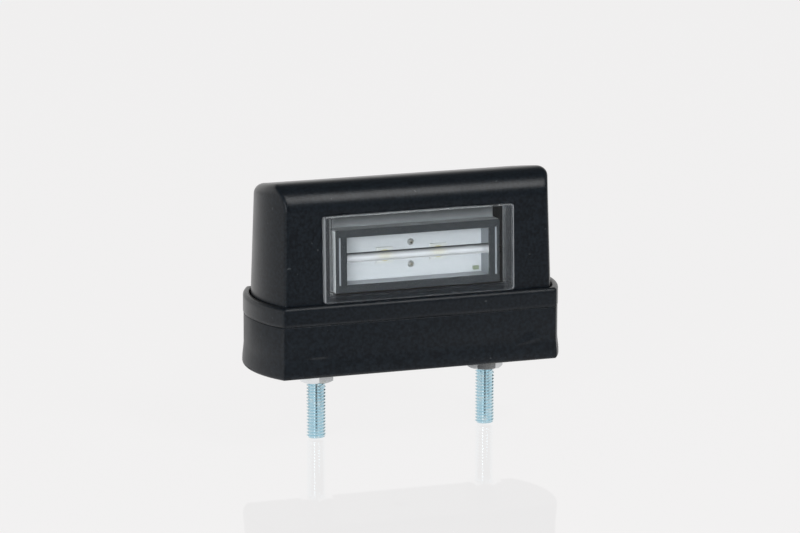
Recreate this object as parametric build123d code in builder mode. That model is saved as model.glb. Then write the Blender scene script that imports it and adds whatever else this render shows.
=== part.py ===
# Hooded number plate lamp on two studs. Millimetres, Z up, lens facing -Y.
# Origin: middle of the stud pattern, on the underside of the base.
from build123d import *
import math
import os

os.makedirs("parts", exist_ok=True)

# Plan outline: flat front and back, ends as arcs
front_width = 89.4
base_depth = 36.0
end_radius = 34.0

# Heights above the underside: roof over the middle, boot up to the seam, and the collar on it
hood_height = 58.0
seam_height = 16.45
collar_height = 6.0

# Hood shell, whose roof falls to the back
hood_wall = 2.0
hood_draft = 2.0
roof_fall = 10.6
hood_front_radius = 8.0
hood_end_radius = 3.2
hood_back_radius = 4.0
hood_edge_radius = 0.8
ledge_width = 2.4
hood_gap = 0.5

# Rubber boot
boot_wall = 2.4
boot_floor = 3.0
boot_top_inset = 0.15
boot_flare = 0.3
flare_low = 2.2
flare_high = 6.2
flare_radius = 16.0
boot_foot_radius = 1.0
seam_radius = 0.3
fit_gap = 0.1

# Base carrier
carrier_floor = 4.0
carrier_wall = 2.2
shelf_rise = 1.05
ledge_edge_radius = 1.0
seal_thickness = 1.0
seal_gap = 0.15
seal_width = 2.4

# Mounting studs and nuts, M6: inside the nut the thread is drawn at its middle diameter
stud_spacing = 56.0
stud_diameter = 6.0
engaged_diameter = 5.7
stud_projection = 23.5
stud_chamfer = 0.8
stud_clearance = 0.2
head_flats = 10.0
head_height = 4.0
head_guide_wall = 1.5
head_guide_height = 3.0
head_guide_length = 8.0
nut_flats = 9.8
nut_height = 5.2
nut_turns = [20.5, 45.4]
hex_face_margin = 0.2
hex_chamfer_angle = 30.0
thread_gap = 0.05

# Hood screws from below, placed from the studs and the back
screw_stand_off = 8.0
screw_inset = 9.0
screw_diameter = 2.9
screw_length = 12.0
screw_tip = 2.5
screw_head_diameter = 5.6
screw_head_height = 2.0
screw_seat_floor = 1.6
screw_slot_width = 0.9
screw_slot_depth = 1.0
screw_slot_length = 3.4
screw_clearance = 0.2
boss_radius = 3.0
boss_rise = 11.5
boss_web = 1.8

# Cable inlet, midway between the studs
inlet_bore = 5.2
grommet_wall = 1.9
grommet_flange_reach = 1.5
grommet_flange_height = 1.5

# Lens: panel proud of a rebate in the hood, with two beads and a rib behind it
lens_width = 62.3
lens_head_margin = 0.35
lens_foot = 0.2
lens_thickness = 2.2
lens_proud = 1.5
lens_corner = 1.0
lens_edge_radius = 0.5
lens_gap = 0.05
rebate_side = 2.2
rebate_top = 0.4
rebate_backing = 1.4
backing_reach = 2.2
bead_width = 0.5
bead_depth = 0.8
bead_inset = 0.6
rib_radius = 1.5
rib_offset = 1.1
rib_end_gap = 0.1

# Optical stack behind the lens: dark bezel, pale reflector box with a flange over it, and board
optic_drop = 1.0
box_side_margin = 4.4
box_edge_margin = 3.8
window_side_margin = 3.45
window_edge_margin = 2.35
bezel_thickness = 0.6
fin_width = 0.5
fin_inset = 1.2
reflector_depth = 6.2
flange_thickness = 1.2
flange_reach = 2.0
post_size = (3.0, 1.6)
post_inset = 6.0
board_side_margin = 1.35
board_edge_margin = 1.2
board_thickness = 1.6
hook_length = 5.0
hook_spacing = 30.0
hook_reach = 0.5
hook_thickness = 1.0

# Parts on the board, places measured from the window's middle
led_spacing = 17.6
led_width = 5.4
led_height = 5.0
led_thickness = 0.9
led_field_diameter = 3.8
led_field_depth = 0.4
pin_spacing = 6.9
pin_diameter = 1.0
pin_tail = 8.0
pin_tip = 0.3
solder_diameter = 2.2
solder_top_diameter = 1.4
solder_height = 0.6
diode_size = (1.8, 1.2, 0.8)
diode_side_gap = 1.1
diode_foot_gap = 0.7
chip_size = (5.0, 4.0, 1.5)
chip_places = [(-9.0, 0.0)]
resistor_size = (3.2, 1.6, 0.6)
resistor_places = [(9.0, 3.0), (9.0, 0.0), (9.0, -3.0)]
capacitor_size = (2.0, 1.25, 0.9)
capacitor_places = [(-16.0, 2.5), (-16.0, -2.5)]

# Values worked out from the sizes above
end_centre = front_width / 2 - math.sqrt(end_radius**2 - (base_depth / 2) ** 2)
draft_slope = math.tan(math.radians(hood_draft))
ledge_height = seam_height + collar_height
hood_rise = hood_height - ledge_height
shelf_height = seam_height + shelf_rise
hood_foot = shelf_height + seal_thickness
boss_top = hood_foot + boss_rise
foot_inset = ledge_width - draft_slope * (ledge_height - hood_foot)
roof_slope = math.tan(math.radians(roof_fall))
roof_reach = hood_height + end_radius * roof_slope
collar_inset = ledge_width - hood_gap
boot_inset = boot_top_inset + boot_wall
skirt_inset = boot_inset + fit_gap
cavity_inset = skirt_inset + carrier_wall
floor_top = boot_floor + carrier_floor
screw_seat = floor_top - screw_seat_floor
lens_top = hood_rise - hood_front_radius - lens_head_margin
aperture_width = lens_width - 2 * rebate_side
aperture_low = lens_foot + rebate_side
aperture_high = lens_top - rebate_top
aperture_middle = (aperture_low + aperture_high) / 2
optic_height = (lens_top + lens_foot) / 2 - optic_drop
box_width = lens_width - 2 * box_side_margin
box_height = lens_top - lens_foot - 2 * box_edge_margin
window_width = box_width - 2 * window_side_margin
window_height = box_height - 2 * window_edge_margin
bezel_front = lens_thickness + fit_gap
reflector_front = bezel_front + bezel_thickness
board_front = reflector_front + reflector_depth
board_back = board_front + board_thickness
flange_front = board_front - flange_thickness
rebate_depth = lens_thickness - lens_proud
backing_depth = hood_wall + rebate_backing
board_width = box_width - 2 * board_side_margin
board_height = box_height - 2 * board_edge_margin
fin_across = box_width / 2 - fin_inset
flange_high = aperture_high + flange_reach
flange_stand_off = flange_front - lens_proud
backing_high = lens_top + backing_reach
hook_front = board_back + fit_gap
stud_places = [(-stud_spacing / 2, 0), (stud_spacing / 2, 0)]
screw_across = stud_spacing / 2 + screw_stand_off
screw_back = base_depth / 2 - screw_inset
screw_places = [(-screw_across, screw_back), (screw_across, screw_back)]
inlet_place = (0, 0)
grommet_radius = inlet_bore / 2 + grommet_wall
led_places = [(-led_spacing / 2, 0), (led_spacing / 2, 0)]
pin_places = [(0, -pin_spacing / 2), (0, pin_spacing / 2)]
diode_across = window_width / 2 - diode_side_gap - diode_size[0] / 2
diode_low = diode_foot_gap + diode_size[1] / 2 - window_height / 2
diode_places = [(diode_across, diode_low)]

# The hood's front and the lens face lean back with the draft
hood_plane = Plane(
    origin=(0, ledge_width - base_depth / 2, ledge_height),
    x_dir=(1, 0, 0),
    z_dir=(0, -math.cos(math.radians(hood_draft)), math.sin(math.radians(hood_draft))),
)
lens_plane = hood_plane.offset(lens_proud)


# Plane at a depth behind the lens face, with its origin on the window's middle
def optic_plane(depth):
    middle = lens_plane.from_local_coords((0, optic_height, -depth))
    return Plane(origin=middle, x_dir=lens_plane.x_dir, z_dir=lens_plane.z_dir)


# Closed section through corners of (across, height, rounding)
def rounded_section(corners):
    with BuildSketch() as section:
        with BuildLine():
            Polyline(*[(across, height) for across, height, rounding in corners], close=True)
        make_face()
        for across, height, rounding in corners:
            if rounding:
                corner = section.vertices().sort_by_distance((across, height, 0))[0]
                fillet(corner, rounding)
    return section.sketch


# Section through rows of (inset, height, rounding), from a middle line out to a reach
def wall_section(rows, middle, reach):
    walls = [(reach - inset, height, rounding) for inset, height, rounding in rows]
    return rounded_section([(middle, rows[0][1], 0), *walls, (middle, rows[-1][1], 0)])


# Block with the lamp's plan outline, whose walls follow the rows all the way round
def outline_block(rows):
    with BuildPart() as ends:
        with BuildSketch(Plane.XZ):
            add(wall_section(rows, end_centre, end_centre + end_radius))
        revolve(axis=Axis((end_centre, 0, 0), (0, 0, 1)))
        mirror(about=Plane.YZ)
    with BuildPart() as block:
        with BuildSketch(Plane.YZ):
            add(wall_section(rows, 0, base_depth / 2))
            mirror(about=Plane.YZ)
        extrude(amount=front_width, both=True)
        add(ends.part, mode=Mode.INTERSECT)
    return block.part


# Hood's outside moved in by an offset: drafted walls under the falling roof, upright edges rounded at will
def hood_block(offset, edge_radius):
    low = foot_inset + offset
    high = low + draft_slope * (roof_reach - hood_foot)
    roof = hood_height - offset / math.cos(math.radians(roof_fall))
    roof_plane = Plane(origin=(0, 0, roof), x_dir=(1, 0, 0), z_dir=(0, roof_slope, 1))
    with BuildPart() as end:
        with BuildSketch(Plane.XZ):
            rows = [(low, hood_foot, 0), (high, roof_reach, 0)]
            add(wall_section(rows, end_centre, end_centre + end_radius))
        revolve(axis=Axis((end_centre, 0, 0), (0, 0, 1)))
        split(bisect_by=roof_plane, keep=Keep.BOTTOM)
        fillet(end.faces().sort_by(Axis.Z)[-1].edges(), hood_end_radius - offset)
        mirror(about=Plane.YZ)
    foot = base_depth / 2 - low
    lean = foot + draft_slope * hood_foot
    front_top = (roof + roof_slope * lean) / (1 + roof_slope * draft_slope)
    back_top = (roof - roof_slope * lean) / (1 - roof_slope * draft_slope)
    with BuildPart() as block:
        with BuildSketch(Plane.YZ):
            add(
                rounded_section(
                    [
                        (-foot, hood_foot, 0),
                        (draft_slope * front_top - lean, front_top, hood_front_radius - offset),
                        (lean - draft_slope * back_top, back_top, hood_back_radius - offset),
                        (foot, hood_foot, 0),
                    ]
                )
            )
        extrude(amount=front_width, both=True)
        add(end.part, mode=Mode.INTERSECT)
        if edge_radius:
            upright = [edge for edge in block.edges() if edge.bounding_box().size.Z > edge_radius]
            fillet(upright, edge_radius)
    return block.part


# Hexagon prism with its corners turned off at both ends, standing on the XY plane
def hexagon(flats, height):
    corner = flats / math.sqrt(3)
    face = flats / 2 - hex_face_margin
    rise = (corner - face) * math.tan(math.radians(hex_chamfer_angle))
    with BuildPart() as body:
        with BuildSketch():
            RegularPolygon(flats / 2, 6, major_radius=False)
        extrude(amount=height)
        with BuildSketch(Plane.XZ):
            with BuildLine():
                Polyline(
                    (0, 0),
                    (face, 0),
                    (corner, rise),
                    (corner, height - rise),
                    (face, height),
                    (0, height),
                    close=True,
                )
            make_face()
        revolve(axis=Axis.Z, mode=Mode.INTERSECT)
    return body.part


# Plain blocks of one size, seated at places on a plane
def seated_blocks(plane, places, size, outward):
    with BuildPart() as blocks:
        with BuildSketch(plane):
            with Locations(*places):
                Rectangle(size[0], size[1])
        extrude(amount=outward * size[2])
    return blocks.part


# Hood: drafted shell with a rebated aperture for the lens and two screw bosses
with BuildPart() as hood:
    add(hood_block(0, hood_edge_radius))
    add(hood_block(hood_wall, 0), mode=Mode.SUBTRACT)
    with BuildSketch(hood_plane.offset(-hood_wall / 2)):
        with Locations((0, (backing_high + lens_foot) / 2)):
            Rectangle(lens_width + hood_wall, backing_high - lens_foot)
    extrude(amount=-(hood_wall / 2 + rebate_backing))
    for x, y in screw_places:
        wall_middle = base_depth / 2 - foot_inset - hood_wall / 2
        with BuildSketch(Plane.XY.offset(floor_top)):
            with Locations((x, y)):
                Circle(boss_radius)
        extrude(amount=boss_top - floor_top)
        with BuildSketch(Plane.XY.offset(hood_foot)):
            with Locations((x, (y + wall_middle) / 2)):
                Rectangle(boss_web, wall_middle - y)
        extrude(amount=boss_top - hood_foot)
        with BuildSketch(Plane.XY.offset(floor_top)):
            with Locations((x, y)):
                Circle(screw_diameter / 2 + thread_gap)
        extrude(amount=screw_length, mode=Mode.SUBTRACT)
    with BuildSketch(hood_plane.offset(hood_wall)):
        with Locations((0, (lens_top + lens_foot) / 2)):
            RectangleRounded(
                lens_width + 2 * lens_gap, lens_top - lens_foot + 2 * lens_gap, lens_corner + lens_gap
            )
    extrude(amount=-(hood_wall + rebate_depth), mode=Mode.SUBTRACT)
    with BuildSketch(hood_plane):
        with Locations((0, aperture_middle)):
            Rectangle(aperture_width, aperture_high - aperture_low)
    extrude(amount=-(2 * hood_wall + rebate_backing), mode=Mode.SUBTRACT)
hood.part.label = "hood"
export_step(hood.part, "parts/hood.step")

# Lens: panel with rounded edges, two locating beads and a half-round rib that spreads the light
with BuildPart() as lens:
    with BuildSketch(lens_plane):
        with Locations((0, (lens_top + lens_foot) / 2)):
            RectangleRounded(lens_width, lens_top - lens_foot, lens_corner)
    extrude(amount=-lens_thickness)
    fillet(lens.faces().sort_by(Axis.Y)[0].edges(), lens_edge_radius)
    with BuildSketch(lens_plane.offset(-lens_thickness)):
        with Locations((0, aperture_middle)):
            with GridLocations(aperture_width - 2 * bead_inset, 0, 2, 1):
                Rectangle(bead_width, aperture_high - aperture_low - 2 * bead_inset)
    extrude(amount=-bead_depth)
    rib_middle = lens_plane.from_local_coords((0, optic_height + rib_offset, -lens_thickness))
    with BuildSketch(Plane(origin=rib_middle, x_dir=lens_plane.y_dir, z_dir=lens_plane.x_dir)):
        Circle(rib_radius)
        Rectangle(2 * rib_radius, rib_radius, align=(Align.CENTER, Align.MIN), mode=Mode.SUBTRACT)
    extrude(amount=window_width / 2 - rib_end_gap, both=True)
lens.part.label = "lens"
export_step(lens.part, "parts/lens.step")

# Window bezel: dark frame round the window, slotted down each side for the reflector's fins
with BuildPart() as window_bezel:
    with BuildSketch(optic_plane(bezel_front)):
        Rectangle(box_width, box_height)
        Rectangle(window_width, window_height, mode=Mode.SUBTRACT)
        with Locations((-fin_across, 0), (fin_across, 0)):
            Rectangle(
                fin_width + 2 * thread_gap, window_height + 2 * thread_gap, mode=Mode.SUBTRACT
            )
    extrude(amount=-bezel_thickness)
window_bezel.part.label = "window_bezel"
export_step(window_bezel.part, "parts/window_bezel.step")

# Reflector frame: pale box round the window, fins in the bezel, flange on posts above, hooks for the board
with BuildPart() as reflector_frame:
    with BuildSketch(optic_plane(reflector_front)):
        Rectangle(box_width, box_height)
    extrude(amount=-reflector_depth)
    with BuildSketch(lens_plane.offset(-flange_front)):
        with Locations((0, (flange_high + optic_height) / 2)):
            Rectangle(box_width, flange_high - optic_height)
    extrude(amount=-flange_thickness)
    with BuildSketch(optic_plane(reflector_front)):
        Rectangle(window_width, window_height)
    extrude(amount=-reflector_depth, mode=Mode.SUBTRACT)
    with BuildSketch(optic_plane(reflector_front)):
        with Locations((-fin_across, 0), (fin_across, 0)):
            Rectangle(fin_width, window_height)
    extrude(amount=bezel_thickness)
    with BuildSketch(hood_plane.offset(-backing_depth)):
        with Locations((0, flange_high - post_size[1] / 2)):
            with GridLocations(box_width - 2 * post_inset, 0, 2, 1):
                Rectangle(*post_size)
    extrude(amount=backing_depth - flange_stand_off)
    with BuildSketch(optic_plane(board_front)):
        with GridLocations(hook_spacing, board_height + 2 * fit_gap + hook_thickness, 2, 2):
            Rectangle(hook_length, hook_thickness)
    extrude(amount=board_front - hook_front - hook_thickness)
    with BuildSketch(optic_plane(hook_front)):
        with GridLocations(hook_spacing, board_height + 2 * fit_gap - hook_reach, 2, 2):
            Rectangle(hook_length, hook_reach)
    extrude(amount=-hook_thickness)
reflector_frame.part.label = "reflector_frame"
export_step(reflector_frame.part, "parts/reflector_frame.step")

# Circuit board with holes for the two terminal pins
with BuildPart() as circuit_board:
    with BuildSketch(optic_plane(board_front)):
        Rectangle(board_width, board_height)
        with Locations(*pin_places):
            Circle(pin_diameter / 2 + thread_gap, mode=Mode.SUBTRACT)
    extrude(amount=-board_thickness)
circuit_board.part.label = "circuit_board"
export_step(circuit_board.part, "parts/circuit_board.step")

# LED packages with a recessed field, and the phosphor that fills it
with BuildPart() as led_packages:
    with BuildSketch(optic_plane(board_front)):
        with Locations(*led_places):
            Rectangle(led_width, led_height)
    extrude(amount=led_thickness)
    with BuildSketch(optic_plane(board_front - led_thickness)):
        with Locations(*led_places):
            Circle(led_field_diameter / 2)
    extrude(amount=-led_field_depth, mode=Mode.SUBTRACT)
led_packages.part.label = "led_packages"
export_step(led_packages.part, "parts/led_packages.step")

with BuildPart() as led_phosphors:
    with BuildSketch(optic_plane(board_front - led_thickness)):
        with Locations(*led_places):
            Circle(led_field_diameter / 2)
    extrude(amount=-led_field_depth)
led_phosphors.part.label = "led_phosphors"
export_step(led_phosphors.part, "parts/led_phosphors.step")

# Terminal pins through the board, and their solder joints on its face
with BuildPart() as terminal_pins:
    with BuildSketch(optic_plane(board_front - solder_height - pin_tip)):
        with Locations(*pin_places):
            Circle(pin_diameter / 2)
    extrude(amount=-(solder_height + pin_tip + board_thickness + pin_tail))
terminal_pins.part.label = "terminal_pins"
export_step(terminal_pins.part, "parts/terminal_pins.step")

with BuildPart() as solder_joints:
    for place in pin_places:
        with BuildSketch(optic_plane(board_front)):
            with Locations(place):
                Circle(solder_diameter / 2)
        with BuildSketch(optic_plane(board_front - solder_height)):
            with Locations(place):
                Circle(solder_top_diameter / 2)
        loft()
        with BuildSketch(optic_plane(board_front)):
            with Locations(place):
                Circle(pin_diameter / 2)
        extrude(amount=solder_height, mode=Mode.SUBTRACT)
solder_joints.part.label = "solder_joints"
export_step(solder_joints.part, "parts/solder_joints.step")

# Chip parts: the diode shows on the board's face, the rest sit on its back
for name, depth, places, size, outward in (
    ("board_diode", board_front, diode_places, diode_size, 1),
    ("driver_chip", board_back, chip_places, chip_size, -1),
    ("board_resistors", board_back, resistor_places, resistor_size, -1),
    ("board_capacitors", board_back, capacitor_places, capacitor_size, -1),
):
    chips = seated_blocks(optic_plane(depth), places, size, outward)
    chips.label = name
    export_step(chips, f"parts/{name}.step")

# Base carrier: collar with a ledge round the hood, skirt inside the boot and a floor
with BuildPart() as base_carrier:
    add(outline_block([(0, seam_height, seam_radius), (0, ledge_height, ledge_edge_radius)]))
    add(outline_block([(skirt_inset, boot_floor, 0), (skirt_inset, shelf_height, 0)]))
    add(
        outline_block([(cavity_inset, floor_top, 0), (cavity_inset, shelf_height, 0)]),
        mode=Mode.SUBTRACT,
    )
    add(
        outline_block([(collar_inset, shelf_height, 0), (collar_inset, ledge_height, 0)]),
        mode=Mode.SUBTRACT,
    )
    guide_reach = head_flats / 2 + stud_clearance + head_guide_wall / 2
    with BuildSketch(Plane.XY.offset(floor_top)):
        with GridLocations(stud_spacing, 2 * guide_reach, 2, 2):
            Rectangle(head_guide_length, head_guide_wall)
    extrude(amount=head_guide_height)
    with BuildSketch(Plane.XY.offset(boot_floor)):
        with Locations(*stud_places):
            Circle(stud_diameter / 2 + stud_clearance)
        with Locations(*screw_places):
            Circle(screw_diameter / 2 + screw_clearance)
        with Locations(inlet_place):
            Circle(grommet_radius + thread_gap)
    extrude(amount=carrier_floor, mode=Mode.SUBTRACT)
    with BuildSketch(Plane.XY.offset(boot_floor)):
        with Locations(*screw_places):
            Circle(screw_head_diameter / 2 + screw_clearance)
    extrude(amount=screw_seat - boot_floor, mode=Mode.SUBTRACT)
base_carrier.part.label = "base_carrier"
export_step(base_carrier.part, "parts/base_carrier.step")

# Rubber boot: cup round the carrier's skirt, flared at its foot, with holes in its pad
with BuildPart() as rubber_boot:
    add(
        outline_block(
            [
                (-boot_flare, 0, boot_foot_radius),
                (-boot_flare, flare_low, flare_radius),
                (boot_top_inset, flare_high, flare_radius),
                (boot_top_inset, seam_height, seam_radius),
            ]
        )
    )
    add(
        outline_block([(boot_inset, boot_floor, 0), (boot_inset, seam_height, 0)]),
        mode=Mode.SUBTRACT,
    )
    with BuildSketch():
        with Locations(*stud_places):
            Circle(stud_diameter / 2 + fit_gap)
        with Locations(inlet_place):
            Circle(grommet_radius + thread_gap)
    extrude(amount=boot_floor, mode=Mode.SUBTRACT)
rubber_boot.part.label = "rubber_boot"
export_step(rubber_boot.part, "parts/rubber_boot.step")

# Flat seal between the carrier's shelf and the hood's foot
seal_inset = collar_inset + seal_gap
with BuildPart() as hood_seal:
    add(outline_block([(seal_inset, shelf_height, 0), (seal_inset, hood_foot, 0)]))
    add(
        outline_block(
            [(seal_inset + seal_width, shelf_height, 0), (seal_inset + seal_width, hood_foot, 0)]
        ),
        mode=Mode.SUBTRACT,
    )
hood_seal.part.label = "hood_seal"
export_step(hood_seal.part, "parts/hood_seal.step")

# Mounting studs: hexagon heads on the carrier's floor, shanks down through the boot
stud_head = hexagon(head_flats, head_height)
with BuildPart() as mounting_studs:
    with Locations(*[(x, y, floor_top) for x, y in stud_places]):
        add(stud_head)
    with BuildSketch(Plane.XY.offset(floor_top)):
        with Locations(*stud_places):
            Circle(engaged_diameter / 2)
    extrude(amount=-(floor_top + nut_height))
    with BuildSketch(Plane.XY.offset(-nut_height)):
        with Locations(*stud_places):
            Circle(stud_diameter / 2)
    extrude(amount=nut_height - stud_projection)
    tips = mounting_studs.faces().filter_by(Axis.Z).group_by(Axis.Z)[0]
    chamfer(tips.edges(), stud_chamfer)
mounting_studs.part.label = "mounting_studs"
export_step(mounting_studs.part, "parts/mounting_studs.step")

# Mounting nuts, run up against the underside
plain_nut = hexagon(nut_flats, nut_height)
with BuildPart() as mounting_nuts:
    for (x, y), turn in zip(stud_places, nut_turns):
        with Locations(Location((x, y, -nut_height), (0, 0, turn))):
            add(plain_nut)
    with BuildSketch():
        with Locations(*stud_places):
            Circle(engaged_diameter / 2 + thread_gap)
    extrude(amount=-nut_height, mode=Mode.SUBTRACT)
mounting_nuts.part.label = "mounting_nuts"
export_step(mounting_nuts.part, "parts/mounting_nuts.step")

# Hood screws: pan heads in pockets under the carrier's floor, shanks up into the bosses
with BuildPart() as hood_screws:
    with BuildSketch(Plane.XY.offset(screw_seat - screw_head_height)):
        with Locations(*screw_places):
            Circle(screw_head_diameter / 2)
    extrude(amount=screw_head_height)
    rims = hood_screws.faces().filter_by(Axis.Z).group_by(Axis.Z)[0]
    fillet(rims.edges(), screw_head_height / 2)
    with BuildSketch(Plane.XY.offset(screw_seat)):
        with Locations(*screw_places):
            Circle(screw_diameter / 2)
    extrude(amount=screw_length - screw_tip)
    for x, y in screw_places:
        with Locations((x, y, screw_seat + screw_length - screw_tip / 2)):
            Cone(screw_diameter / 2, screw_slot_width / 4, screw_tip)
    with BuildSketch(Plane.XY.offset(screw_seat - screw_head_height)):
        with Locations(*screw_places):
            Rectangle(screw_slot_length, screw_slot_width)
            Rectangle(screw_slot_width, screw_slot_length)
    extrude(amount=screw_slot_depth, mode=Mode.SUBTRACT)
hood_screws.part.label = "hood_screws"
export_step(hood_screws.part, "parts/hood_screws.step")

# Cable grommet: flanged rubber bush through the floor, with the bore for the lead
with BuildPart() as cable_grommet:
    with BuildSketch():
        with Locations(inlet_place):
            Circle(grommet_radius)
    extrude(amount=floor_top)
    with BuildSketch(Plane.XY.offset(floor_top)):
        with Locations(inlet_place):
            Circle(grommet_radius + grommet_flange_reach)
    extrude(amount=grommet_flange_height)
    with BuildSketch():
        with Locations(inlet_place):
            Circle(inlet_bore / 2)
    extrude(amount=floor_top + grommet_flange_height, mode=Mode.SUBTRACT)
cable_grommet.part.label = "cable_grommet"
export_step(cable_grommet.part, "parts/cable_grommet.step")
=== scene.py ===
import math
import bpy
from mathutils import Euler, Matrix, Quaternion, Vector


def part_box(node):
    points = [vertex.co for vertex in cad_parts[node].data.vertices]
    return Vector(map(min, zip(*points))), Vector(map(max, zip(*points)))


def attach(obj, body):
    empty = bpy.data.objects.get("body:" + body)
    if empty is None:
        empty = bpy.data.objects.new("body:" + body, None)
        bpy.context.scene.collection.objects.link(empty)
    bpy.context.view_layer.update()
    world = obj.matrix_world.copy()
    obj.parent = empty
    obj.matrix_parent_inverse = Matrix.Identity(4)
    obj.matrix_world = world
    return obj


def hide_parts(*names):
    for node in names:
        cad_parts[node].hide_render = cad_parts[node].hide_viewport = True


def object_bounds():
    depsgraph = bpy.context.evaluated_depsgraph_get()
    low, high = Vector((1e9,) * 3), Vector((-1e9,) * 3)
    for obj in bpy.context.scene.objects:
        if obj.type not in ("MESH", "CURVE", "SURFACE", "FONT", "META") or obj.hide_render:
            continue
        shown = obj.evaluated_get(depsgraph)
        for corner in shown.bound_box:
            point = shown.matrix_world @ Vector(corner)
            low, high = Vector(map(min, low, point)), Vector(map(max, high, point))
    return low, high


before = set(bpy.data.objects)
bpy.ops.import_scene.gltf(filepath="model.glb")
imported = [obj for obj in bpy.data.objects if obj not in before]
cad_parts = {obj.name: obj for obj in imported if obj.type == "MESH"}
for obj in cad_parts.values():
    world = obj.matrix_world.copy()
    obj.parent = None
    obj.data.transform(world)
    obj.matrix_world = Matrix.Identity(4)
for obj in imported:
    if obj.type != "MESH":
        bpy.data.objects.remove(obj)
cadLow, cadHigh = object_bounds()
mm = 0.001
mergeM = 1e-6  # points closer than this are one point
print("frame loaded:", len(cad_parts), "nodes")


def linear(hexCode):  # sRGB hex to linear light
    parts = [int(hexCode[i:i + 2], 16) / 255 for i in (1, 3, 5)]
    return tuple(p / 12.92 if p <= 0.04045 else ((p + 0.055) / 1.055) ** 2.4 for p in parts) + (1.0,)


# a link starts at a socket, or at a node's first output;
# a Mix of colours takes them at 6 and 7, and gives its result at 2
def addNode(tree, kind, settings, links):
    node = tree.nodes.new("ShaderNode" + kind)
    for key, value in settings.items():
        if isinstance(key, int) or key in node.inputs:
            node.inputs[key].default_value = value
        else:
            setattr(node, key, value)
    for key, source in links.items():
        socket = source.outputs[0] if isinstance(source, bpy.types.Node) else source
        tree.links.new(socket, node.inputs[key])
    return node


def startMaterial(name):
    mat = bpy.data.materials.new(name)
    mat.use_nodes = True
    mat.node_tree.nodes.clear()
    return mat, mat.node_tree


def clearSelection():
    if bpy.context.object and bpy.context.object.mode != "OBJECT":
        bpy.ops.object.mode_set(mode="OBJECT")
    bpy.ops.object.select_all(action="DESELECT")


def dress(nodeName, mat):
    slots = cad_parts[nodeName].data.materials
    slots.clear()
    slots.append(mat)


# moulded black ABS: satin, near black with a cool cast, a spark grain, a few dust specks and soft edges;
# the grain is finer in life, and is drawn as coarse as it needs to show
absFinish = {"dark": "#0a0e13", "pale": "#161c22", "speck": "#3c4043", "patchMm": 9, "grainMm": 0.9,
             "speckMm": 1.6, "roughness": 0.3, "ior": 1.43, "bumpMm": 0.04, "edgeMm": 1.6}
# moulded rubber: as black as the hood but duller, with a wider and shallower grain
rubberFinish = {"dark": "#0c1015", "pale": "#161c22", "speck": "#34383a", "patchMm": 5, "grainMm": 1.1,
                "speckMm": 1.2, "roughness": 0.4, "ior": 1.41, "bumpMm": 0.03, "edgeMm": 0.7}
# glossy nylon of the bezel: charcoal, greyer and shinier than the hood
nylonFinish = {"dark": "#24272a", "pale": "#2f3235", "speck": "#3a3d40", "patchMm": 4, "grainMm": 0.3,
               "speckMm": 1.5, "roughness": 0.25, "ior": 1.5, "bumpMm": 0.005, "edgeMm": 0.2}
# shared by the three: where specks and grain start and end in their noise, and how far the shine drifts
blackSet = {"patchDetail": 3, "grainDetail": 2, "speckDetail": 1, "speckFrom": 0.76, "speckTo": 0.82,
            "grainFrom": 0.35, "grainTo": 0.65, "roughSpread": 0.05, "bumpStrength": 0.5, "edgeSamples": 8}


def mouldedBlack(name, finish):
    mat, tree = startMaterial(name)
    place = addNode(tree, "TexCoord", {}, {}).outputs["Object"]
    noises = {}
    for kind in ("patch", "grain", "speck"):
        noises[kind] = addNode(tree, "TexNoise", {"Scale": 1 / (finish[kind + "Mm"] * mm),
                                                  "Detail": blackSet[kind + "Detail"]}, {"Vector": place})
    speck = addNode(tree, "MapRange", {"From Min": blackSet["speckFrom"], "From Max": blackSet["speckTo"]},
                    {"Value": noises["speck"]})
    mottle = addNode(tree, "MapRange", {"From Min": blackSet["grainFrom"], "From Max": blackSet["grainTo"]},
                     {"Value": noises["grain"]})
    tone = addNode(tree, "Mix", {"data_type": "RGBA", 6: linear(finish["dark"]), 7: linear(finish["pale"])},
                   {0: mottle})
    dusty = addNode(tree, "Mix", {"data_type": "RGBA", 7: linear(finish["speck"])},
                    {0: speck, 6: tone.outputs[2]})
    rough = addNode(tree, "MapRange", {"To Min": finish["roughness"] - blackSet["roughSpread"],
                                       "To Max": finish["roughness"] + blackSet["roughSpread"]},
                    {"Value": noises["patch"]})
    edge = addNode(tree, "Bevel", {"samples": blackSet["edgeSamples"], "Radius": finish["edgeMm"] * mm}, {})
    bump = addNode(tree, "Bump", {"Strength": blackSet["bumpStrength"], "Distance": finish["bumpMm"] * mm},
                   {"Height": noises["grain"], "Normal": edge})
    shader = addNode(tree, "BsdfPrincipled", {"IOR": finish["ior"]},
                     {"Base Color": dusty.outputs[2], "Roughness": rough, "Normal": bump})
    addNode(tree, "OutputMaterial", {}, {"Surface": shader})
    return mat


hoodAbs = mouldedBlack("mouldedBlackAbs", absFinish)
bootRubber = mouldedBlack("mouldedRubber", rubberFinish)
bezelNylon = mouldedBlack("glossyBlackNylon", nylonFinish)

# bright zinc: a soft metal shine in patches; the studs are passivated blue, the nuts left nearly grey
studZinc = {"one": "#cfe8f1", "two": "#e4eff2", "driftMm": 2.2, "grainMm": 0.25, "roughness": 0.16}
nutZinc = {"one": "#f0f2f4", "two": "#e4e7e3", "driftMm": 1.8, "grainMm": 0.25, "roughness": 0.11}
zincSet = {"detail": 2, "driftFrom": 0.5, "driftTo": 0.75, "smoother": 0.06, "rougher": 0.08}


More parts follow.
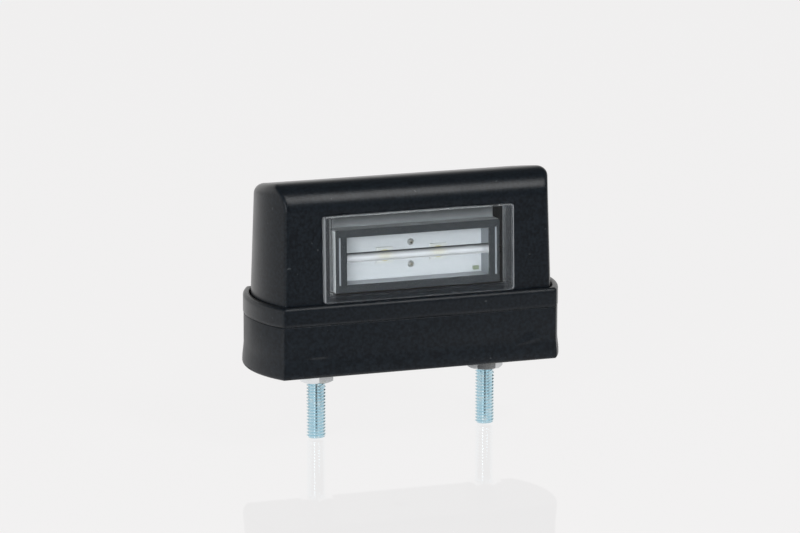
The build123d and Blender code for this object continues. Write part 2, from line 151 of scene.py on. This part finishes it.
def platedZinc(name, finish):
    mat, tree = startMaterial(name)
    place = addNode(tree, "TexCoord", {}, {}).outputs["Object"]
    drift = addNode(tree, "TexNoise", {"Scale": 1 / (finish["driftMm"] * mm), "Detail": zincSet["detail"]},
                    {"Vector": place})
    grain = addNode(tree, "TexNoise", {"Scale": 1 / (finish["grainMm"] * mm), "Detail": zincSet["detail"]},
                    {"Vector": place})
    share = addNode(tree, "MapRange", {"From Min": zincSet["driftFrom"], "From Max": zincSet["driftTo"]},
                    {"Value": drift})
    tone = addNode(tree, "Mix", {"data_type": "RGBA", 6: linear(finish["one"]), 7: linear(finish["two"])},
                   {0: share})
    rough = addNode(tree, "MapRange", {"To Min": finish["roughness"] - zincSet["smoother"],
                                       "To Max": finish["roughness"] + zincSet["rougher"]},
                    {"Value": grain})
    shader = addNode(tree, "BsdfPrincipled", {"Metallic": 1.0},
                     {"Base Color": tone.outputs[2], "Roughness": rough})
    addNode(tree, "OutputMaterial", {}, {"Surface": shader})
    return mat


blueZinc = platedZinc("bluePassivatedZinc", studZinc)
greyZinc = platedZinc("brightZinc", nutZinc)

# clear moulded acrylic: colourless and polished; its edges and its rib are frosted, and the rib's upper
# flank carries a painted dark reflection, which draws a grey line; lamps shine through it
acrylicFinish = {"tint": "#f6f9fa", "frost": "#b9bdc1", "paintedDarkLine": "#313436", "ribTone": "#e4e6e9",
                 "hazeMm": 8, "hazeDetail": 2, "roughness": 0.015, "ior": 1.49,
                 "edgeMm": 0.5, "edgeFrost": 0.36, "levelFrost": 0.10, "sideMm": 3.6, "sideFrost": 0.05,
                 "ribHalfMm": 23.4, "ribFrontMm": -14.34, "ribFootMm": 34.6, "ribTopMm": 37.75,
                 "ribLowMm": 35.9, "ribHighMm": 37.3, "ribFrost": 0.32, "ribPaintedLine": 0.97}
lensLow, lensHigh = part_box("lens")


def clearAcrylic(name, finish):
    mat, tree = startMaterial(name)
    place = addNode(tree, "TexCoord", {}, {}).outputs["Object"]
    haze = addNode(tree, "TexNoise", {"Scale": 1 / (finish["hazeMm"] * mm), "Detail": finish["hazeDetail"]},
                   {"Vector": place})
    rough = addNode(tree, "MapRange", {"To Min": 0.0, "To Max": 2 * finish["roughness"]}, {"Value": haze})
    glass = addNode(tree, "BsdfPrincipled", {"Base Color": linear(finish["tint"]), "IOR": finish["ior"],
                                             "Transmission Weight": 1.0}, {"Roughness": rough})

    # frost on the panel's outermost edges, and a trace of it over its two side zones
    spot = addNode(tree, "SeparateXYZ", {}, {0: place})
    across = addNode(tree, "Math", {"operation": "ABSOLUTE"}, {0: spot.outputs[0]})
    height = addNode(tree, "Math", {"operation": "SUBTRACT", 1: (lensLow.z + lensHigh.z) / 2},
                     {0: spot.outputs[2]})
    offMiddle = addNode(tree, "Math", {"operation": "ABSOLUTE"}, {0: height})
    edges = []
    for distance, half, share in ((across, lensHigh.x, "edgeFrost"),
                                  (offMiddle, (lensHigh.z - lensLow.z) / 2, "levelFrost")):
        outer = addNode(tree, "Math", {"operation": "GREATER_THAN", 1: half - finish["edgeMm"] * mm},
                        {0: distance})
        edges.append(addNode(tree, "Math", {"operation": "MULTIPLY", 1: finish[share]}, {0: outer}))
    edge = addNode(tree, "Math", {"operation": "MAXIMUM"}, {0: edges[0], 1: edges[1]})
    side = addNode(tree, "Math", {"operation": "GREATER_THAN", 1: lensHigh.x - finish["sideMm"] * mm},
                   {0: across})
    frostShare = addNode(tree, "Math", {"operation": "MULTIPLY_ADD", 1: finish["sideFrost"]},
                         {0: side, 2: edge})
    frost = addNode(tree, "BsdfDiffuse", {"Color": linear(finish["frost"])}, {})
    panel = addNode(tree, "MixShader", {}, {0: frostShare, 1: glass, 2: frost})

    # the rib, found by its place: white frost all over, and a painted dark reflection climbing its upper
    # flank
    rib = addNode(tree, "Math", {"operation": "LESS_THAN", 1: finish["ribHalfMm"] * mm}, {0: across})
    for operation, limit, axis in (("GREATER_THAN", "ribFrontMm", 1), ("GREATER_THAN", "ribFootMm", 2),
                                   ("LESS_THAN", "ribTopMm", 2)):
        inside = addNode(tree, "Math", {"operation": operation, 1: finish[limit] * mm},
                         {0: spot.outputs[axis]})
        rib = addNode(tree, "Math", {"operation": "MULTIPLY"}, {0: rib, 1: inside})
    ribShare = addNode(tree, "Math", {"operation": "MULTIPLY", 1: finish["ribFrost"]}, {0: rib})
    ribWhite = addNode(tree, "BsdfDiffuse", {"Color": linear(finish["ribTone"])}, {})
    frosted = addNode(tree, "MixShader", {}, {0: ribShare, 1: panel, 2: ribWhite})
    paintedDarkClimb = addNode(tree, "MapRange", {"From Min": finish["ribLowMm"] * mm,
                                       "From Max": finish["ribHighMm"] * mm, "To Max": finish["ribPaintedLine"]},
                    {"Value": spot.outputs[2]})
    paintedLineShare = addNode(tree, "Math", {"operation": "MULTIPLY"}, {0: paintedDarkClimb, 1: rib})
    # painted reflection: a dark diffuse share on the rib's upper flank stands in for the dark line the rib
    # mirrors
    paintedDarkLine = addNode(tree, "BsdfDiffuse", {"Color": linear(finish["paintedDarkLine"])}, {})
    ribbed = addNode(tree, "MixShader", {}, {0: paintedLineShare, 1: frosted, 2: paintedDarkLine})

    clear = addNode(tree, "BsdfTransparent", {"Color": linear(finish["tint"])}, {})
    ray = addNode(tree, "LightPath", {}, {})
    mix = addNode(tree, "MixShader", {}, {0: ray.outputs["Is Shadow Ray"], 1: ribbed, 2: clear})
    addNode(tree, "OutputMaterial", {}, {"Surface": mix})
    return mat


acrylic = clearAcrylic("clearAcrylic", acrylicFinish)

# white ABS of the reflector, as lit and shaded copies: painted shade greys its inside, painted light keeps
# its outer side walls white, and painted shade darkens it up its flange, which stands in the hood's shade
reflectorFinish = {"inside": "#84878c", "jamb": "#74787d", "outside": "#f6f7f7", "low": "#7e8082",
                   "high": "#2c2e30", "cloudMm": 3, "cloudDetail": 3, "roughness": 0.35,
                   "roughSpread": 0.06, "jambMm": 23.3, "wallMm": 0.3, "boxMm": 19.2, "shadeMm": 3.6}
reflectorLow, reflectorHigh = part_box("reflector_frame")


def paleAbs(name, finish):
    mat, tree = startMaterial(name)
    place = addNode(tree, "TexCoord", {}, {}).outputs["Object"]
    cloud = addNode(tree, "TexNoise", {"Scale": 1 / (finish["cloudMm"] * mm),
                                       "Detail": finish["cloudDetail"]}, {"Vector": place})
    spot = addNode(tree, "SeparateXYZ", {}, {0: place})
    across = addNode(tree, "Math", {"operation": "ABSOLUTE"}, {0: spot.outputs[0]})
    # painted shade: the inside is grey, and darker still on the jambs, the box's inner side walls
    jamb = addNode(tree, "Math", {"operation": "COMPARE", 1: finish["jambMm"] * mm,
                                  2: finish["wallMm"] * mm}, {0: across})
    inner = addNode(tree, "Mix", {"data_type": "RGBA", 6: linear(finish["inside"]),
                                  7: linear(finish["jamb"])}, {0: jamb})
    # painted light: the outer side walls are white where the rest is painted grey
    wall = addNode(tree, "Math", {"operation": "GREATER_THAN", 1: reflectorHigh.x - finish["wallMm"] * mm},
                   {0: across})
    sides = addNode(tree, "Mix", {"data_type": "RGBA", 7: linear(finish["outside"])},
                    {0: wall, 6: inner.outputs[2]})
    boxTop = reflectorLow.z + finish["boxMm"] * mm
    # painted shade: the flange darkens towards its top, as if in the hood's shade
    flange = addNode(tree, "Math", {"operation": "GREATER_THAN", 1: boxTop}, {0: spot.outputs[2]})
    paintedDarkClimb = addNode(tree, "MapRange", {"From Min": boxTop, "From Max": boxTop + finish["shadeMm"] * mm},
                    {"Value": spot.outputs[2]})
    paintedShade = addNode(tree, "Mix", {"data_type": "RGBA", 6: linear(finish["low"]), 7: linear(finish["high"])},
                    {0: paintedDarkClimb})
    tone = addNode(tree, "Mix", {"data_type": "RGBA"},
                   {0: flange, 6: sides.outputs[2], 7: paintedShade.outputs[2]})
    rough = addNode(tree, "MapRange", {"To Min": finish["roughness"] - finish["roughSpread"],
                                       "To Max": finish["roughness"] + finish["roughSpread"]},
                    {"Value": cloud})
    shader = addNode(tree, "BsdfPrincipled", {}, {"Base Color": tone.outputs[2], "Roughness": rough})
    addNode(tree, "OutputMaterial", {}, {"Surface": shader})
    return mat


reflectorAbs = paleAbs("paleReflectorAbs", reflectorFinish)

# small parts' finishes: a base tone clouded by a second one, with its own gloss
cloudSet = {"detail": 3, "roughSpread": 0.06, "bumpStrength": 0.3}


def cloudedFinish(name, finish):
    mat, tree = startMaterial(name)
    place = addNode(tree, "TexCoord", {}, {}).outputs["Object"]
    cloud = addNode(tree, "TexNoise", {"Scale": 1 / (finish["cloudMm"] * mm), "Detail": cloudSet["detail"]},
                    {"Vector": place})
    tone = addNode(tree, "Mix", {"data_type": "RGBA", 6: linear(finish["one"]), 7: linear(finish["two"])},
                   {0: cloud})
    rough = addNode(tree, "MapRange", {"To Min": finish["roughness"] - cloudSet["roughSpread"],
                                       "To Max": finish["roughness"] + cloudSet["roughSpread"]},
                    {"Value": cloud})
    bump = addNode(tree, "Bump", {"Strength": cloudSet["bumpStrength"], "Distance": finish["bumpMm"] * mm},
                   {"Height": cloud})
    shader = addNode(tree, "BsdfPrincipled", {"Metallic": finish["metallic"]},
                     {"Base Color": tone.outputs[2], "Roughness": rough, "Normal": bump})
    addNode(tree, "OutputMaterial", {}, {"Surface": shader})
    return mat


# white solder mask on glass epoxy: even white, faintly woven
solderMask = cloudedFinish("whiteSolderMask", {"one": "#b9bbbe", "two": "#c2c4c7", "cloudMm": 0.8,
                                               "roughness": 0.4, "bumpMm": 0.01, "metallic": 0.0})
# white PPA body of the LED: matt white
ledPpa = cloudedFinish("whitePpa", {"one": "#bcbdbb", "two": "#c6c7c5", "cloudMm": 0.6,
                                    "roughness": 0.5, "bumpMm": 0.005, "metallic": 0.0})
# phosphor in silicone: dull yellow, clouded by its powder
ledSilicone = cloudedFinish("phosphorSilicone", {"one": "#a9a17a", "two": "#b4af94", "cloudMm": 0.4,
                                                 "roughness": 0.3, "bumpMm": 0.005, "metallic": 0.0})
# tin solder: pale grey metal, dull and dimpled
tinSolder = cloudedFinish("tinSolder", {"one": "#c4c5c3", "two": "#dcdcd9", "cloudMm": 0.5,
                                        "roughness": 0.5, "bumpMm": 0.03, "metallic": 1.0})
# tinned brass of the pins: pale metal, faintly warm where brass shows through
tinnedBrass = cloudedFinish("tinnedBrass", {"one": "#c9c6ba", "two": "#c8c2b0", "cloudMm": 0.7,
                                            "roughness": 0.28, "bumpMm": 0.01, "metallic": 1.0})
# epoxy of the chip parts: matt grey black
chipEpoxy = cloudedFinish("chipEpoxy", {"one": "#1b1c1d", "two": "#26282a", "cloudMm": 0.3,
                                        "roughness": 0.55, "bumpMm": 0.01, "metallic": 0.0})
# lacquered diode: small and dull green
diodeLacquer = cloudedFinish("greenLacquer", {"one": "#6d7860", "two": "#929b85", "cloudMm": 0.5,
                                              "roughness": 0.4, "bumpMm": 0.01, "metallic": 0.0})
# fired ceramic of the capacitors: tan with darker grains
firedCeramic = cloudedFinish("firedCeramic", {"one": "#8d6a4a", "two": "#a58362", "cloudMm": 0.3,
                                              "roughness": 0.45, "bumpMm": 0.01, "metallic": 0.0})

for nodeName, mat in {
    "hood": hoodAbs, "base_carrier": hoodAbs,
    "rubber_boot": bootRubber, "hood_seal": bootRubber, "cable_grommet": bootRubber,
    "lens": acrylic, "window_bezel": bezelNylon, "reflector_frame": reflectorAbs,
    "circuit_board": solderMask, "led_packages": ledPpa, "led_phosphors": ledSilicone,
    "terminal_pins": tinnedBrass, "solder_joints": tinSolder, "board_diode": diodeLacquer,
    "driver_chip": chipEpoxy, "board_resistors": chipEpoxy, "board_capacitors": firedCeramic,
    "mounting_studs": blueZinc, "mounting_nuts": greyZinc, "hood_screws": greyZinc,
}.items():
    dress(nodeName, mat)
print("materials on", len(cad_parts), "nodes")

# threaded studs: the CAD shanks are plain, so each bolt is made again with its rolled thread,
# M6 with a 1 mm pitch; lengths in mm, angles in degrees
studSet = {"pitch": 1.0, "crest": 2.97, "root": 2.42, "rootFlat": 0.225, "flank": 0.325, "crestFlat": 0.125,
           "steps": 40, "spareTurns": 2, "plain": 2.85, "nutGap": 0.1,
           "tipRadius": 1.9, "tipLength": 1.0, "blankGap": 0.1,
           "headFlats": 10.0, "headHeight": 4.0, "headSides": 6, "headTurn": 30, "headBevel": 0.25,
           "bevelSegments": 2, "smoothAngle": 35}
studLow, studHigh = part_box("mounting_studs")
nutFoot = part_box("mounting_nuts")[0].z
headCorner = studSet["headFlats"] / math.sqrt(3) * mm
studX = studHigh.x - headCorner
threadTop = nutFoot - studSet["nutGap"] * mm
headFoot = studHigh.z - studSet["headHeight"] * mm
turns = math.ceil((threadTop - studLow.z) / (studSet["pitch"] * mm)) + studSet["spareTurns"]
crest, root = studSet["crest"] * mm, studSet["root"] * mm

# one pitch of the thread's outline, drawn by extruding a point, then wound along the shank
clearSelection()
bpy.ops.mesh.primitive_plane_add(size=crest, location=(studX, 0, studLow.z - studSet["pitch"] * mm))
stud = bpy.context.object
stud.name = "threadedStuds"
bpy.ops.object.mode_set(mode="EDIT")
bpy.ops.mesh.select_all(action="SELECT")
bpy.ops.mesh.merge(type="CENTER")
bpy.ops.transform.translate(value=(root, 0, 0))
for across, up in ((0, "rootFlat"), (crest - root, "flank"), (0, "crestFlat"), (root - crest, "flank")):
    bpy.ops.mesh.extrude_vertices_move(TRANSFORM_OT_translate={"value": (across, 0, studSet[up] * mm)})
bpy.ops.object.mode_set(mode="OBJECT")
winding = stud.modifiers.new("winding", "SCREW")
winding.screw_offset = studSet["pitch"] * mm
winding.iterations = turns
winding.steps = winding.render_steps = studSet["steps"]
winding.use_merge_vertices = True
winding.merge_threshold = mergeM
bpy.ops.object.modifier_apply(modifier="winding")
bpy.ops.object.mode_set(mode="EDIT")
for height, way in ((threadTop, 1), (studLow.z, -1)):
    bpy.ops.mesh.select_all(action="SELECT")
    bpy.ops.mesh.bisect(plane_co=(studX, 0, height), plane_no=(0, 0, way), use_fill=True, clear_outer=True)
bpy.ops.mesh.select_all(action="SELECT")
bpy.ops.mesh.normals_make_consistent(inside=False)
bpy.ops.object.mode_set(mode="OBJECT")

# turned blank whose cone trims the thread's end
clearSelection()
bpy.ops.mesh.primitive_circle_add(vertices=studSet["steps"], radius=studSet["tipRadius"] * mm,
                                  fill_type="NGON", location=(studX, 0, studLow.z))
blank = bpy.context.object
bpy.ops.object.mode_set(mode="EDIT")
bpy.ops.mesh.select_all(action="SELECT")
bpy.ops.mesh.extrude_region_move(TRANSFORM_OT_translate={"value": (0, 0, studSet["tipLength"] * mm)})
wider = (studSet["crest"] + studSet["blankGap"]) / studSet["tipRadius"]
bpy.ops.transform.resize(value=(wider, wider, 1), center_override=(studX, 0, studLow.z))
bpy.ops.mesh.extrude_region_move(TRANSFORM_OT_translate={"value": (0, 0, threadTop - studLow.z)})
bpy.ops.mesh.select_all(action="SELECT")
bpy.ops.mesh.normals_make_consistent(inside=False)
bpy.ops.object.mode_set(mode="OBJECT")
clearSelection()
stud.select_set(True)
bpy.context.view_layer.objects.active = stud
trim = stud.modifiers.new("trim", "BOOLEAN")
trim.operation = "INTERSECT"
trim.object = blank
bpy.ops.object.modifier_apply(modifier="trim")
bpy.data.objects.remove(blank)

# plain shank through the nut and floor, and the hexagon head on it
clearSelection()
bpy.ops.mesh.primitive_cylinder_add(vertices=studSet["steps"], radius=studSet["plain"] * mm,
                                    depth=headFoot - threadTop,
                                    location=(studX, 0, (headFoot + threadTop) / 2))
shank = bpy.context.object
bpy.ops.mesh.primitive_cylinder_add(vertices=studSet["headSides"], radius=headCorner,
                                    depth=studHigh.z - headFoot,
                                    location=(studX, 0, (studHigh.z + headFoot) / 2),
                                    rotation=(0, 0, math.radians(studSet["headTurn"])))
head = bpy.context.object
bpy.ops.object.mode_set(mode="EDIT")
bpy.ops.mesh.select_all(action="SELECT")
bpy.ops.mesh.bevel(offset=studSet["headBevel"] * mm, segments=studSet["bevelSegments"])
bpy.ops.object.mode_set(mode="OBJECT")
for piece in (shank, head, stud):
    piece.select_set(True)
bpy.context.view_layer.objects.active = stud
bpy.ops.object.join()
bpy.ops.object.transform_apply(location=True, rotation=True, scale=True)

# the second stud is a copy, and both are one piece
bpy.ops.object.duplicate()
bpy.ops.transform.translate(value=(-2 * studX, 0, 0))
bpy.ops.object.transform_apply(location=True, rotation=True, scale=True)
stud.select_set(True)
bpy.context.view_layer.objects.active = stud
bpy.ops.object.join()
bpy.ops.object.shade_smooth_by_angle(angle=math.radians(studSet["smoothAngle"]))
stud.data.materials.clear()
stud.data.materials.append(blueZinc)
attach(stud, "root")
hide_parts("mounting_studs")
print("studs threaded:", len(stud.data.polygons), "faces")

# boot: a copy of the CAD boot with the two pinched folds in its front, which swell slowly down to a lip
# and end under it; places are x, z and the lip's slope, lengths in mm, the angle in degrees
foldSet = {"places": ((-33.5, 6.6, 0.0), (35.6, 6.2, 0.2)), "half": 5.2, "fall": 3.2, "lip": 0.7,
           "swell": 0.38, "cellX": 0.8, "cellZ": 0.35, "cutsX": 7, "cutsAbove": 9, "cutsBelow": 3,
           "front": -15.0, "facing": -0.8, "smoothAngle": 30}
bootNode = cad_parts["rubber_boot"]
boot = bpy.data.objects.new("dentedBoot", bootNode.data.copy())
bpy.context.scene.collection.objects.link(boot)
boot.matrix_world = bootNode.matrix_world
clearSelection()
boot.select_set(True)
bpy.context.view_layer.objects.active = boot
bpy.ops.object.transform_apply(location=True, rotation=True, scale=True)
bpy.ops.mesh.customdata_custom_splitnormals_clear()
bpy.ops.object.mode_set(mode="EDIT")
bpy.ops.mesh.select_mode(type="VERT")
bpy.ops.mesh.select_all(action="SELECT")
bpy.ops.mesh.remove_doubles(threshold=mergeM)
frontY = foldSet["front"] * mm
for foldX, foldZ, slope in foldSet["places"]:
    cuts = [((foldX + k * foldSet["cellX"]) * mm, foldZ * mm, (1, 0, 0))
            for k in range(-foldSet["cutsX"], foldSet["cutsX"] + 1)]
    cuts += [(foldX * mm, (foldZ + k * foldSet["cellZ"]) * mm, (-slope, 0, 1))
             for k in range(-foldSet["cutsBelow"], foldSet["cutsAbove"] + 1)]
    for cutX, cutZ, cutWay in cuts:  # each cut goes only through the front on the fold's own side
        bpy.ops.mesh.select_mode(type="FACE")
        bpy.ops.object.mode_set(mode="OBJECT")
        for face in boot.data.polygons:
            onFront = face.normal.y < foldSet["facing"] and face.center.y < frontY
            face.select = onFront and face.center.x * foldX > 0
        bpy.ops.object.mode_set(mode="EDIT")
        bpy.ops.mesh.bisect(plane_co=(cutX, 0, cutZ), plane_no=cutWay)
    bpy.ops.object.mode_set(mode="OBJECT")
    for vert in boot.data.vertices:
        along = vert.co.x / mm - foldX
        off = vert.co.z / mm - foldZ - slope * along
        upright = off / foldSet["fall"] if off > 0 else -off / foldSet["lip"]
        reach = max(0, 1 - upright) * max(0, 1 - abs(along) / foldSet["half"])
        if vert.co.y < frontY:
            vert.co.y -= foldSet["swell"] * reach * reach * (3 - 2 * reach) * mm  # smooth step
    bpy.ops.object.mode_set(mode="EDIT")
bpy.ops.object.mode_set(mode="OBJECT")
bpy.ops.object.shade_smooth_by_angle(angle=math.radians(foldSet["smoothAngle"]))
boot.data.materials.clear()
boot.data.materials.append(bootRubber)
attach(boot, "root")
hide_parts("rubber_boot")
print("boot folded:", len(boot.data.polygons), "faces")

# stage: pale glossy table; what glossy parts mirror of it is painted reflection: it dims to the front and
# far left, with a painted dark band in front of each stud and soft painted dark spots for the nuts' facets;
# places in metres, dark spots are x, y, radius and level
tableSet = {"tone": "#f8f7f7", "shown": 0.93, "mirror": 0.09, "mirrorRough": 0.02,
            "size": 12.0, "under": 0.00002,
            "dimFrom": -0.3, "dimLevels": ((-0.29, 0.24), (-0.19, 0.33), (-0.14, 0.8), (-0.055, 1.0)),
            "bandLean": 0.30, "bandAt": 0.028, "bandInner": 0.13, "bandOuter": 0.30, "bandReach": 0.16,
            "bandNearest": 1e-4, "bandLevels": ((0.012, 1.0), (0.018, 0.16), (0.07, 0.16), (0.08, 0.06)),
            "paintedDarkSpots": ((0.060, -0.051, 0.02, 0.42), (-0.053, 0.060, 0.02, 0.16), (0.123, 0.032, 0.02, 0.6),
                      (0.012, -0.100, 0.018, 0.3)), "darkSpotSoft": 1.3,
            "leftFrom": -0.25, "leftTo": -0.18, "leftShare": 0.62}
clearSelection()
bpy.ops.mesh.primitive_plane_add(size=tableSet["size"], location=(0, 0, cadLow.z - tableSet["under"]))
floor = bpy.context.object
floor.name = "table"
floorMat, tree = startMaterial("paleTable")
place = addNode(tree, "TexCoord", {}, {}).outputs["Object"]
spot = addNode(tree, "SeparateXYZ", {}, {0: place})

# painted reflection, dimmer towards the front
forward = addNode(tree, "MapRange", {"From Min": tableSet["dimFrom"], "From Max": 0.0},
                  {"Value": spot.outputs[1]})
dim = addNode(tree, "ValToRGB", {}, {0: forward})
dimStops = [(1 - spotY / tableSet["dimFrom"], amount) for spotY, amount in tableSet["dimLevels"]]

# a painted dark band in front of each stud, which widens and deepens as it runs forward
lean = addNode(tree, "Math", {"operation": "MULTIPLY_ADD", 1: -tableSet["bandLean"]},
               {0: spot.outputs[1], 2: spot.outputs[0]})
off = addNode(tree, "Math", {"operation": "ABSOLUTE"}, {0: lean})
gap = addNode(tree, "Math", {"operation": "SUBTRACT", 1: tableSet["bandAt"]}, {0: off})
gapSize = addNode(tree, "Math", {"operation": "ABSOLUTE"}, {0: gap})
ahead = addNode(tree, "Math", {"operation": "MULTIPLY", 1: -1.0}, {0: spot.outputs[1]})
aheadOnly = addNode(tree, "Math", {"operation": "MAXIMUM", 1: tableSet["bandNearest"]}, {0: ahead})
widen = addNode(tree, "Math", {"operation": "DIVIDE"}, {0: gapSize, 1: aheadOnly})
run = addNode(tree, "MapRange", {"From Max": tableSet["bandReach"]}, {"Value": ahead})
deepen = addNode(tree, "ValToRGB", {}, {0: run})
bandStops = [(distance / tableSet["bandReach"], amount) for distance, amount in tableSet["bandLevels"]]
band = addNode(tree, "MapRange", {"From Min": tableSet["bandInner"], "From Max": tableSet["bandOuter"]},
               {"Value": widen, "To Min": deepen})
for ramp, stops in ((dim, dimStops), (deepen, bandStops)):
    ends = ramp.color_ramp.elements
    ends[0].color, ends[1].color = [(stops[end][1],) * 3 + (1,) for end in (0, -1)]
    for position, amount in stops:
        ends.new(position).color = (amount,) * 3 + (1,)

# painted reflection dimmer far left, and the painted dark spots
level = addNode(tree, "Math", {"operation": "MINIMUM"}, {0: band, 1: dim})
left = addNode(tree, "MapRange", {"From Min": tableSet["leftFrom"], "From Max": tableSet["leftTo"],
                                  "To Min": tableSet["leftShare"]}, {"Value": spot.outputs[0]})
level = addNode(tree, "Math", {"operation": "MULTIPLY"}, {0: level, 1: left})
for spotCentreX, spotCentreY, radius, amount in tableSet["paintedDarkSpots"]:
    away = addNode(tree, "VectorMath", {"operation": "DISTANCE", 1: (spotCentreX, spotCentreY, 0)}, {0: place})
    darkSpot = addNode(tree, "MapRange", {"From Min": radius, "From Max": radius * tableSet["darkSpotSoft"],
                                      "To Min": amount}, {"Value": away.outputs["Value"]})
    level = addNode(tree, "Math", {"operation": "MULTIPLY"}, {0: level, 1: darkSpot})

# camera, glossy and transmission rays see mostly the table's own pale tone, glossy rays dimmed by the
# painted reflection level;
# other rays see a lit surface
ray = addNode(tree, "LightPath", {}, {})
strength = addNode(tree, "Mix", {2: 1.0}, {0: ray.outputs["Is Glossy Ray"], 3: level})
glow = addNode(tree, "Emission", {"Color": linear(tableSet["tone"])}, {"Strength": strength})
seen = addNode(tree, "Math", {"operation": "ADD"},
               {0: ray.outputs["Is Camera Ray"], 1: ray.outputs["Is Glossy Ray"]})
seenToo = addNode(tree, "Math", {"operation": "ADD", "use_clamp": True},
                  {0: seen, 1: ray.outputs["Is Transmission Ray"]})
share = addNode(tree, "Math", {"operation": "MULTIPLY", 1: tableSet["shown"]}, {0: seenToo})
lit = addNode(tree, "BsdfDiffuse", {"Color": linear(tableSet["tone"])}, {})
body = addNode(tree, "MixShader", {}, {0: share, 1: lit, 2: glow})
mirror = addNode(tree, "BsdfGlossy", {"Roughness": tableSet["mirrorRough"]}, {})
top = addNode(tree, "MixShader", {0: tableSet["mirror"]}, {1: body, 2: mirror})
addNode(tree, "OutputMaterial", {}, {"Surface": top})
floor.data.materials.append(floorMat)

# room: pale behind the table and low down, dim in front and overhead
roomSet = {"dim": "#565a5d", "pale": "#ecebea", "paleFrom": -0.44, "paleTo": 0.05,
           "paleTop": 0.36, "paleEnd": 0.62}
world = bpy.data.worlds.new("paleBackedRoom")
bpy.context.scene.world = world
world.use_nodes = True
tree = world.node_tree
tree.nodes.clear()
way = addNode(tree, "TexCoord", {}, {}).outputs["Generated"]
part = addNode(tree, "SeparateXYZ", {}, {0: way})
behind = addNode(tree, "MapRange", {"From Min": roomSet["paleFrom"], "From Max": roomSet["paleTo"]},
                 {"Value": part.outputs[1]})
under = addNode(tree, "MapRange", {"From Min": roomSet["paleEnd"], "From Max": roomSet["paleTop"]},
                {"Value": part.outputs[2]})
pale = addNode(tree, "Math", {"operation": "MULTIPLY"}, {0: behind, 1: under})
ray = addNode(tree, "LightPath", {}, {})
shown = addNode(tree, "Math", {"operation": "MAXIMUM"}, {0: pale, 1: ray.outputs["Is Camera Ray"]})
tone = addNode(tree, "Mix", {"data_type": "RGBA", 6: linear(roomSet["dim"]), 7: linear(roomSet["pale"])},
               {0: shown})
sky = addNode(tree, "Background", {"Strength": 1.0}, {"Color": tone.outputs[2]})
addNode(tree, "OutputWorld", {}, {"Surface": sky})

# lamps: a softbox high in front to the right, a narrow strip far left and a broad fill on the camera's left
lampSet = {
    "softbox": {"at": (0.35, -0.68, 0.82), "wide": 0.3, "high": 0.55, "watts": 2.6, "mirrored": True},
    "leftStrip": {"at": (-1.22, -1.30, 0.42), "wide": 0.3, "high": 0.6, "watts": 5.0, "mirrored": True},
    "lowFill": {"at": (-0.75, -1.62, 0.36), "wide": 1.5, "high": 0.62, "watts": 24.5, "mirrored": False},
}
lampAim = Vector((0, 0, 0.02))
for name, lampFacts in lampSet.items():
    data = bpy.data.lights.new(name, "AREA")
    data.shape = "RECTANGLE"
    data.size, data.size_y = lampFacts["wide"], lampFacts["high"]
    data.energy = lampFacts["watts"]
    lamp = bpy.data.objects.new(name, data)
    bpy.context.scene.collection.objects.link(lamp)
    lamp.location = lampFacts["at"]
    lamp.visible_camera = False
    lamp.visible_glossy = lampFacts["mirrored"]
    lamp.rotation_euler = (lampAim - lamp.location).to_track_quat("-Z", "Y").to_euler()
print("stage and lamps ready")

# camera at the photograph's angle: place in mm, angles in degrees, clipping in metres
cameraSet = {"at": (-510.36, -1361.15, 339.99), "turn": 20.54, "tilt": 12.08, "roll": 0.12, "lens": 216.0,
             "sensor": 36.0, "clip": (0.01, 50.0)}
cameraData = bpy.data.cameras.new("camera")
cameraData.lens = cameraSet["lens"]
cameraData.sensor_width = cameraSet["sensor"]
cameraData.clip_start, cameraData.clip_end = cameraSet["clip"]
camera = bpy.data.objects.new("camera", cameraData)
bpy.context.scene.collection.objects.link(camera)
camera.location = Vector(cameraSet["at"]) * mm
camera.rotation_mode = "QUATERNION"
camera.rotation_quaternion = (
    Euler((math.radians(90 - cameraSet["tilt"]), 0, math.radians(-cameraSet["turn"]))).to_quaternion()
    @ Quaternion((0, 0, 1), math.radians(cameraSet["roll"]))
)
bpy.context.scene.camera = camera
bpy.context.scene.view_settings.view_transform = "Standard"
